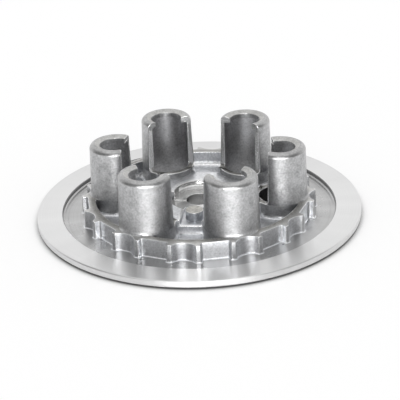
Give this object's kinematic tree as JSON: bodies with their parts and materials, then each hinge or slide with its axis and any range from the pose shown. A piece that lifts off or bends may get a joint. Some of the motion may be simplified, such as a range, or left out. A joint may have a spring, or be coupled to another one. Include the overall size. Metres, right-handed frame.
{
  "type": "clutch pressure plate",
  "caption": "Round clutch pressure plate with a flat friction ring, a castellated ring, lipped open-sided spring towers and a centre bearing seat.",
  "frame": {"origin": "centre of the flat outer face the plate lies on", "axes": "+Z along the plate's axis towards the spring tower tops, -Y towards the front slot that holds the index boss"},
  "size_m": [0.15, 0.15, 0.0344],
  "materials": {
    "turned_face": "fine turned, bright",
    "turned_recess": "turned, satin",
    "machined_castellations": "milled and cast, satin with bright edges",
    "cast_web": "shot blasted casting",
    "turned_seat": "turned, bright",
    "cast_boss": "casting, rough sawn end",
    "cast_tower": "shot blasted casting, satin",
    "cast_lip": "shot blasted casting, worn smooth"
  },
  "bodies": {
    "root": {"friction_ring": "turned_face", "recessed_annulus": "turned_recess", "castellated_ring": "machined_castellations", "spring_carrier": "cast_web", "centre_hub": "turned_seat", "index_boss": "cast_boss", "spring_tower_front_right": "cast_tower", "spring_seat_lip_front_right": "cast_lip", "spring_tower_right": "cast_tower", "spring_seat_lip_right": "cast_lip", "spring_tower_back_right": "cast_tower", "spring_seat_lip_back_right": "cast_lip", "spring_tower_back_left": "cast_tower", "spring_seat_lip_back_left": "cast_lip", "spring_tower_left": "cast_tower", "spring_seat_lip_left": "cast_lip", "spring_tower_front_left": "cast_tower", "spring_seat_lip_front_left": "cast_lip"}
  },
  "joints": []
}
